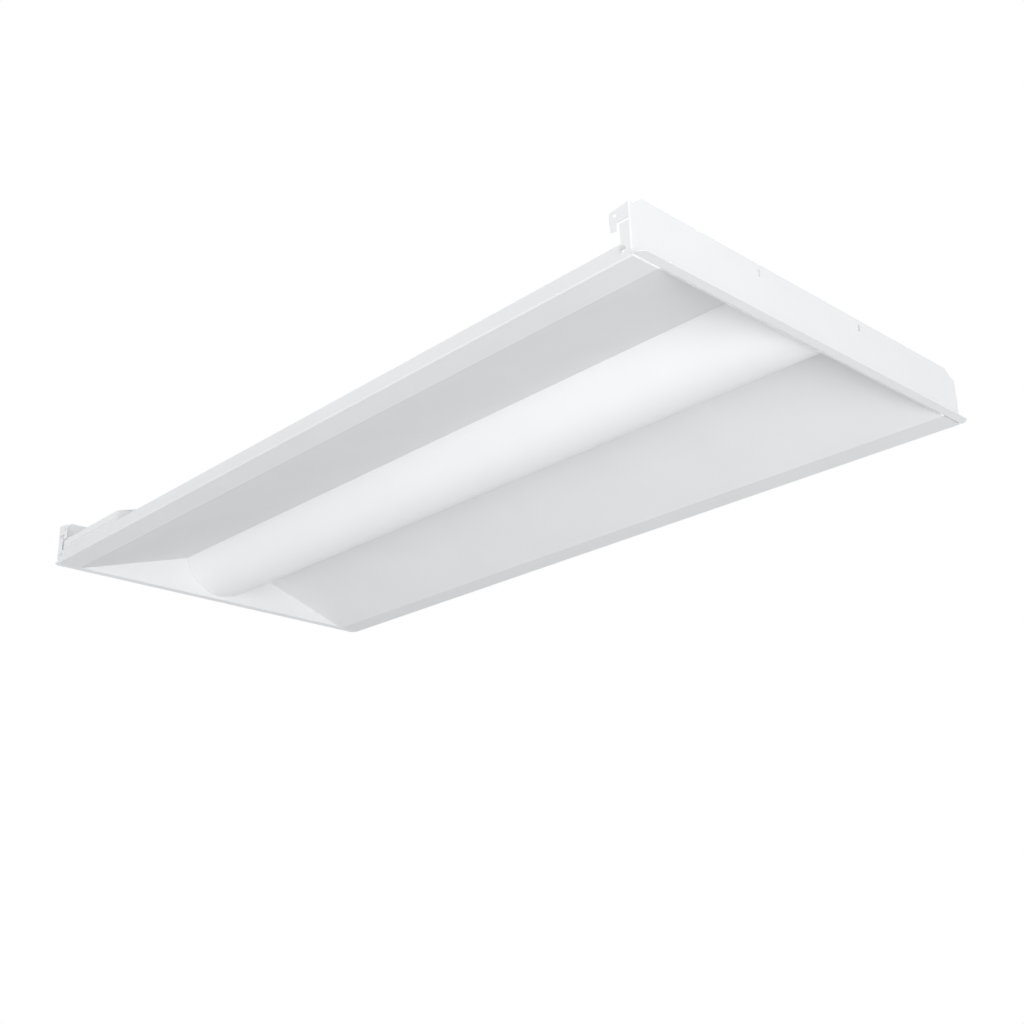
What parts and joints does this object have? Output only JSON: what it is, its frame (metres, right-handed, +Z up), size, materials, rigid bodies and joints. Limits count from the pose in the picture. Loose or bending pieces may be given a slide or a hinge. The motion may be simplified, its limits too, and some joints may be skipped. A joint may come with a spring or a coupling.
{
  "type": "recessed troffer light",
  "caption": "Long recessed ceiling light with folded steel body, sloping reflectors either side of a curved opal lens, end plates with hook brackets, and a rear wiring box.",
  "frame": {"origin": "middle of the fixture, on the plane of the visible border, which faces down", "axes": "+X along the fixture, +Y across it, +Z up into the ceiling space"},
  "size_m": [1.213, 0.6048, 0.0705],
  "materials": {
    "white_paint": "satin white powder coat",
    "reflector_paint": "matte high-reflectance white powder coat",
    "board_mask": "white solder mask on circuit board",
    "chip_phosphor": "yellow phosphor",
    "white_plastic": "moulded white plastic",
    "zinc_steel": "bright zinc plate",
    "opal_lens": "satin opal diffuser plastic",
    "spring_steel": "rolled spring steel",
    "galvanised_steel": "galvanised sheet",
    "driver_metal": "white-coated metal case",
    "earth_green": "green coated screw",
    "black_plastic": "moulded black plastic",
    "lead_insulation": "flexible insulation",
    "white_rivets": "painted steel"
  },
  "bodies": {
    "housing": {"board_connectors": "white_plastic", "board_screws": "zinc_steel", "bracket_screws": "zinc_steel", "centre_channel": "white_paint", "driver_bracket": "galvanised_steel", "driver_case": "driver_metal", "driver_screws": "zinc_steel", "driver_terminals": "white_plastic", "earth_screw": "earth_green", "end_flange_left": "white_paint", "end_flange_right": "white_paint", "end_plate_left": "white_paint", "end_plate_right": "white_paint", "end_reflector_left": "reflector_paint", "end_reflector_right": "reflector_paint", "end_rivets": "white_rivets", "hook_brackets": "white_paint", "input_leads": "lead_insulation", "knockout_disc": "white_paint", "lead_bushes": "black_plastic", "led_board_back_left": "board_mask", "led_board_back_right": "board_mask", "led_board_front_left": "board_mask", "led_board_front_right": "board_mask", "led_chips": "chip_phosphor", "led_tray": "reflector_paint", "lens_clips": "spring_steel", "output_leads": "lead_insulation", "row_jumpers": "lead_insulation", "side_reflector_back": "reflector_paint", "side_reflector_front": "reflector_paint", "terminal_block": "white_plastic", "tray_rivets": "zinc_steel", "wiring_box": "white_paint", "wiring_box_end": "white_paint", "wiring_box_wall": "white_paint"},
    "lens": {"lens": "opal_lens"},
    "cover": {"access_cover": "white_paint", "access_cover_screw": "zinc_steel"}
  },
  "joints": [
    {"name": "lens_drop", "type": "slide", "parent": "housing", "child": "lens", "axis": [0, 0, -1], "range_m": [0, 0.075]},
    {"name": "cover_hinge", "type": "hinge", "parent": "housing", "child": "cover", "pos_m": [-0.5023, -0.18638, 0.069], "axis": [-1, 0, 0], "range_deg": [0, 110]}
  ]
}
